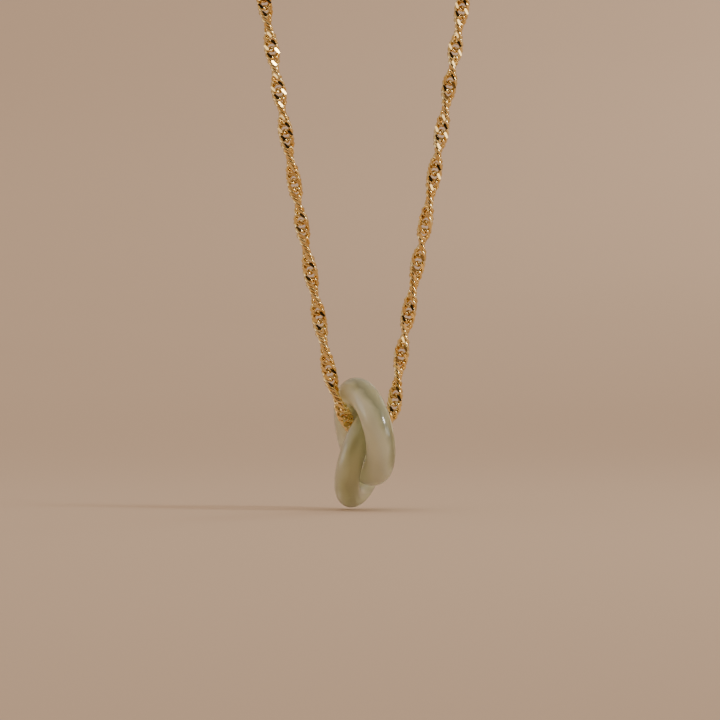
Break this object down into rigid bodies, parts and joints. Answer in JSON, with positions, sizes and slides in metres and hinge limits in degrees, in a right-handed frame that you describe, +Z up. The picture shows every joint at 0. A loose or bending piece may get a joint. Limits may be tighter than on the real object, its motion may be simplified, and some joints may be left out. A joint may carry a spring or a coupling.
{
  "type": "chain necklace with a pendant of linked stone rings",
  "caption": "Fine gold twisted-curb chain necklace, closed by a plain ring clasp, carrying a pendant of linked plain rings in pale green stone, hanging as worn.",
  "frame": {"origin": "underside of the clasp at the top of the loop, where the necklace hangs", "axes": "+X to the viewer's right across the loop, +Y away from the viewer through the loop, +Z up"},
  "size_m": [0.0582, 0.0159, 0.2141],
  "materials": {
    "gold": "polished, diamond cut",
    "pale_stone": "polished, cloudy translucent",
    "olive_stone": "polished, cloudy translucent"
  },
  "bodies": {
    "necklace": {"chain": "gold", "clasp": "gold"},
    "lower_stone": {"lower_ring": "olive_stone"},
    "upper_stone": {"upper_ring": "pale_stone"}
  },
  "joints": [
    {"name": "pendant_swing", "type": "hinge", "parent": "necklace", "child": "lower_stone", "pos_m": [0, 0.0004, -0.20405], "axis": [1, 0, 0], "range_deg": [-20, 0]},
    {"name": "upper_ring_turn", "type": "hinge", "parent": "lower_stone", "child": "upper_stone", "pos_m": [0.0001, -0.0011, -0.203], "axis": [0.9156, 0.342, 0.2114], "continuous": true}
  ]
}
